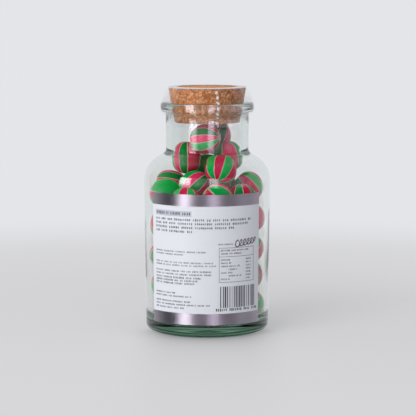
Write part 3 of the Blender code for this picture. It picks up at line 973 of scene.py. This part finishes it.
pale = ink_finish("pale_ink", tone(184, 187, 196), tone(196, 199, 208))
piece("heading_box", *ink_surface(np.array(rule(*HEADING_BOX)), 1.4), pale, "label", sharp=30)
ink = ink_finish("dark_ink", tone(76, 80, 92), tone(36, 38, 48))
piece("printed_marks", *ink_surface(printed_marks(), 2.0), ink, "label", sharp=30)
pen = ink_finish("pen_ink", tone(84, 46, 84), tone(44, 18, 48))
piece("pen_scribble", *ink_surface(scribble_marks(), 2.0), pen, "label", sharp=30)

# The film seal
# A sleeve of clear film shrunk over the cork and the lip, folded in on top and cut off level on
# the neck. It has fine upright creases and a row of tear holes down one side.

FILM_OPENING_R = 18.0 * MM
FILM_END_Z = 125.0 * MM
FILM_TUCK = 2.0 * MM
FILM_OFF = 0.36 * MM
FILM_THICKNESS = 0.08 * MM
FILM_SIDES = 300
FILM_STEP = 0.8 * MM

# How far the film stands off at least, and where it is slacker: height, middle and reach (mm)
LEAST_SLACK = 0.03
SLACK_PLACES = ((0.07, 11, 5), (0.05, 30, 4))


def film_surface():
    """The sleeve's outline spun about the axis with upright creases, doubled back for its inside.

    A crease is a sine of many turns round, let in where a slower sine of the angle is high. The
    run, in mm along the outline from the opening on top, is handed back for every point.
    """
    off = FILM_OFF
    corners = [
        (FILM_OPENING_R, CORK_TOP_Z + off, 0.0),
        (CORK_TOP_R + off, CORK_TOP_Z + off, CORK_ROUND + off),
        (LIP_R + off, LIP_TOP_Z - off, LIP_ROUND + off),
        (LIP_R + off, LIP_BOTTOM_Z - off, LIP_ROUND + off),
        (NECK_R + off, LIP_BOTTOM_Z - off - FILM_TUCK, UNDER_LIP_ROUND),
        (NECK_R + off, FILM_END_Z, 0.0),
    ]
    line = finely(rounded(corners, FINE_SAG), FILM_STEP)
    along = np.gradient(line, axis=0)
    out = np.stack([-along[:, 1], along[:, 0]], -1) / np.linalg.norm(along, axis=1)[:, None]
    run = np.append(0, np.cumsum(np.linalg.norm(np.diff(line, axis=0), axis=1)))
    angle = math.tau * np.arange(FILM_SIDES) / FILM_SIDES
    far = run[:, None] / MM
    where = np.clip(np.sin(5 * angle + 1.0 + far / 30), 0, 1) ** 2
    crease = np.sin(47 * angle + 1.3 * np.sin(far / 7)) * where
    where = np.clip(np.sin(3 * angle + 2.6 - far / 25), 0, 1)
    crease = crease + 0.7 * np.sin(31 * angle + 2 + far / 9) * where
    slack = LEAST_SLACK
    for most, middle, reach in SLACK_PLACES:
        slack = slack + most * np.exp(-(((far - middle) / reach) ** 2))
    lift = (crease * slack * MM)[..., None]
    grid = spun(line[:, :1], line[:, 1:], angle[None])
    normal = spun(out[:, :1], out[:, 1:], angle[None])
    outer = grid + normal * (lift + FILM_THICKNESS / 2)
    inner = grid + normal * (lift - FILM_THICKNESS / 2)
    points, quads, fans = shell(np.concatenate([outer, inner[::-1]]))
    spread = np.concatenate([run, run[::-1]])
    return points, quads, fans, np.repeat(spread / MM, FILM_SIDES)


TEAR_ANGLE = math.radians(-90 + 13)
TEAR_WANDER = 0.16
TEAR_PITCH = 3.4
FOLD_END = (6.6, 5.6)
MOST_SHINE = 0.11
SHINE = (0.95, 0.95, 0.95, 1.0)
HAZE_AND_SHEEN_TONE = (0.80, 0.81, 0.83, 1.0)


def film_finish():
    """Clear film that shines at its edges, milky where it is folded and along its tear holes.

    The fold is milky partly from its own haze and partly as a painted reflection of the bright
    backdrop. The holes are pale spots at even runs, painted highlights for their glints, on a
    line that wanders a little from upright.
    """
    made, wire, shader = finish("clear_film", IOR=1.5)
    out = made.node_tree.nodes["Material Output"]
    x, y, _ = wire.place()
    run = wire.node("ShaderNodeAttribute", {"attribute_name": "run"}, None, "Fac")
    turn = wire.maths("ARCTAN2", y, x)
    drift = wire.noise(wire.node("ShaderNodeCombineXYZ", None, {0: run * 0.4}), 1.0)
    beside = wire.maths("ABSOLUTE", turn - TEAR_ANGLE + (drift - 0.5) * TEAR_WANDER)
    spot = (run % TEAR_PITCH).rise(0.4, 1.1) * (run % TEAR_PITCH).rise(3.0, 2.1)
    # painted highlight: pale spots on the tear line stand in for the holes' glints
    hole_glints = beside.rise(0.036, 0.014) * spot * run.rise(6.0, 7.0)
    # partly painted reflection: the folded ring is milkier than its own haze, for the bright
    # backdrop it mirrors
    fold_haze_and_sheen = run.rise(*FOLD_END) * 0.52 + run.rise(0.6, 0.1) * 0.2
    streak = wire.noise(wire.place(420, 420, 40), 1.0, 3.0).rise(0.58, 0.75) * 0.05
    haze_and_sheen = (fold_haze_and_sheen + streak + hole_glints * 0.75).least(0.9)
    edge = wire.node("ShaderNodeFresnel", None, {"IOR": 1.45})
    solid = (haze_and_sheen + edge.least(MOST_SHINE)).least(0.95)
    wire.feed(shader, "Base Color", (haze_and_sheen / solid).blend(SHINE, HAZE_AND_SHEEN_TONE))
    wire.feed(shader, "Metallic", 1 - haze_and_sheen / solid)
    wire.feed(shader, "Roughness", haze_and_sheen * 0.3 + 0.07)
    crinkle = wire.noise(wire.place(900, 900, 130), 1.0, 2.0)
    wire.feed(shader, "Normal", wire.bump(crinkle, 0.25, 0.1 * MM))
    clear = wire.node("ShaderNodeBsdfTransparent")
    mixed = {"Fac": solid, 1: clear, 2: Wire(wire.tree, shader.outputs[0])}
    wire.feed(out, "Surface", wire.node("ShaderNodeMixShader", None, mixed))
    return made


points, quads, fans, run = film_surface()
film = piece("film_sleeve", points, quads, fans, film_finish(), "film", "seal", sharp=70)
mark_points(film, "run", run)

# The stage
# A pale round table top that fades into a plain pale backdrop, with painted shade under the jar
# and just in front of it. Matt surfaces are lit softly from the left, and glossy ones mirror a dim
# studio with bright upright cards.

BLACK = (0.0, 0.0, 0.0, 1.0)
BACKDROP = tone(228, 229, 233)
TABLE_R = 0.62
TABLE_SIDES = 128
TABLE_TONE = tone(218, 218, 220)
TABLE_GLOW = tone(214, 214, 216)
SHADE_START = 0.034
SHADE_REACH = 0.022
STUDIO_BACK = (0.74, 0.75, 0.78, 1.0)
STUDIO_FRONT = (0.035, 0.035, 0.042, 1.0)
STUDIO_FLOOR = (0.10, 0.11, 0.11, 1.0)
SKY_LEFT = (0.62, 0.62, 0.64, 1.0)
SKY_RIGHT = (0.27, 0.27, 0.28, 1.0)
SKY_INSIDE = 0.65

# Cards: left and right edge in degrees from the front, how soft each of them is, how much of the
# light is left at the card's foot, and the light
CARDS = (
    (-34, 112, 6, 12, 1.0, (0.76, 0.70, 0.79, 1.0)),
    (-54, -30, 3, 3, 0.5, (9.0, 8.6, 9.3, 1.0)),
    (2, 22, 3, 4, 1.0, (4.3, 3.9, 4.6, 1.0)),
    (57, 74, 3, 3, 1.0, (1.2, 1.2, 1.3, 1.0)),
)


def table_finish():
    """Matt table top whose own glow takes over from its shade as it fades into the backdrop.

    Shade is painted into its colour and its glow, under the jar and just in front of it.
    """
    made, wire, shader = finish("table_top", Roughness=0.9, Specular_IOR_Level=0.0)
    x, y, _ = wire.place()
    far = (x * x + y * y) ** 0.5
    # painted shade just in front of the jar, fading with distance from its foot
    ahead = ((0 - y) / far).rise(0.0, 0.4) * wire.maths("ABSOLUTE", x).rise(0.050, 0.020) * 0.48
    painted_shade = ahead / ((far - SHADE_START).most(0.0) / SHADE_REACH + 1) ** 1.4
    # painted shade under the jar's foot
    painted_shade = painted_shade.most(far.rise(0.036, 0.030) * 0.9)
    wire.feed(shader, "Base Color", painted_shade.blend(TABLE_TONE, BLACK))
    light = painted_shade.blend(far.rise(0.30, 0.56).blend(TABLE_GLOW, BACKDROP), BLACK)
    glow = wire.node("ShaderNodeEmission", None, {"Color": light})
    share = far.rise(0.08, 0.34) * 0.45 + 0.55
    mixed = {"Fac": share, 1: Wire(wire.tree, shader.outputs[0]), 2: glow}
    out = made.node_tree.nodes["Material Output"]
    wire.feed(out, "Surface", wire.node("ShaderNodeMixShader", None, mixed))
    return made


def studio(wire, x, y, z):
    """What glossy surfaces mirror: dark in front, light behind, and a row of upright cards."""
    turn = wire.maths("ARCTAN2", x, 0 - y) * math.degrees(1)
    high = z.rise(-0.115, -0.095) * z.rise(0.46, 0.40)
    room = y.rise(-0.3, 0.75).blend(STUDIO_FRONT, STUDIO_BACK)
    room = z.rise(-0.25, -0.7).blend(room, STUDIO_FLOOR)
    for left, right, left_fade, right_fade, foot, light in CARDS:
        card = turn.rise(left, left + left_fade) * turn.rise(right, right - right_fade) * high
        card = card * (z.rise(-0.09, 0.08) * (1 - foot) + foot)
        room = card.blend(room, light)
    return room


def studio_world():
    """The backdrop for the camera, the studio for gloss, and a soft sky for matt surfaces.

    Light that a matt surface has sent on sees mostly the soft sky too, also through the glass.
    """
    made = bpy.data.worlds.new("studio")
    made.use_nodes = True
    wire = Wire(made.node_tree)
    way = wire.node("ShaderNodeTexCoord", output="Generated")
    x, y, z = [wire.node("ShaderNodeSeparateXYZ", None, {0: way}, i) for i in range(3)]
    soft = (x * 0.5 + 0.5).blend(SKY_LEFT, SKY_RIGHT)
    rays = wire.tree.nodes.new("ShaderNodeLightPath")
    shiny = Wire(wire.tree, rays.outputs["Is Glossy Ray"])
    spread = Wire(wire.tree, rays.outputs["Is Diffuse Ray"])
    within = Wire(wire.tree, rays.outputs["Diffuse Depth"]).least(1.0) * SKY_INSIDE
    sky = spread.most(within).blend(shiny.blend(BACKDROP, studio(wire, x, y, z)), soft)
    background = wire.node("ShaderNodeBackground", None, {"Color": sky})
    wire.feed(made.node_tree.nodes["World Output"], "Surface", background)
    return made


table_mesh = bpy.data.meshes.new("table_top")
turn = math.tau * np.arange(TABLE_SIDES)[None] / TABLE_SIDES
table_mesh.from_pydata(spun(TABLE_R, 0.0, turn)[0].tolist(), [], [list(range(TABLE_SIDES))])
table_mesh.materials.append(table_finish())
table = bpy.data.objects.new("table_top", table_mesh)
bpy.context.collection.objects.link(table)
table.visible_glossy = False
bpy.context.scene.world = studio_world()


LAMP_AIM = Vector((0, 0, 0.07))


def lamp(name, azimuth, elevation, distance, size, power):
    """A square soft lamp that faces the jar, seen only by matt surfaces."""
    light = bpy.data.lights.new(name, "AREA")
    light.size = size
    light.energy = power
    made = bpy.data.objects.new(name, light)
    bpy.context.collection.objects.link(made)
    turn, lift = math.radians(azimuth), math.radians(elevation)
    level = math.cos(lift)
    away = Vector((math.sin(turn) * level, -math.cos(turn) * level, math.sin(lift)))
    made.location = LAMP_AIM + away * distance
    made.rotation_euler = away.to_track_quat("Z", "Y").to_euler()
    made.visible_camera = False
    made.visible_glossy = False
    made.visible_transmission = False
    return made


lamp("key_softbox", -38, 30, 1.4, 0.9, 11.0)
lamp("top_softbox", -20, 78, 1.5, 1.0, 5.0)

# The camera
# A long lens a metre off, a little above the jar and looking slightly down.

CAMERA_PLACE = (0.0005, -1.0960, 0.2066)
CAMERA_TILT = math.radians(83.1)
LENS_MM = 156.5
SENSOR_MM = 36.0
GLASS_BOUNCES = 24
GLOSS_BOUNCES = 8

camera = bpy.data.objects.new("camera", bpy.data.cameras.new("camera"))
bpy.context.collection.objects.link(camera)
camera.data.sensor_width = SENSOR_MM
camera.data.lens = LENS_MM
camera.location = CAMERA_PLACE
camera.rotation_euler = (CAMERA_TILT, 0.0, 0.0)

scene = bpy.context.scene
scene.camera = camera
scene.view_settings.view_transform = "Standard"
scene.cycles.max_bounces = GLASS_BOUNCES
scene.cycles.transmission_bounces = GLASS_BOUNCES
scene.cycles.transparent_max_bounces = GLASS_BOUNCES
scene.cycles.glossy_bounces = GLOSS_BOUNCES
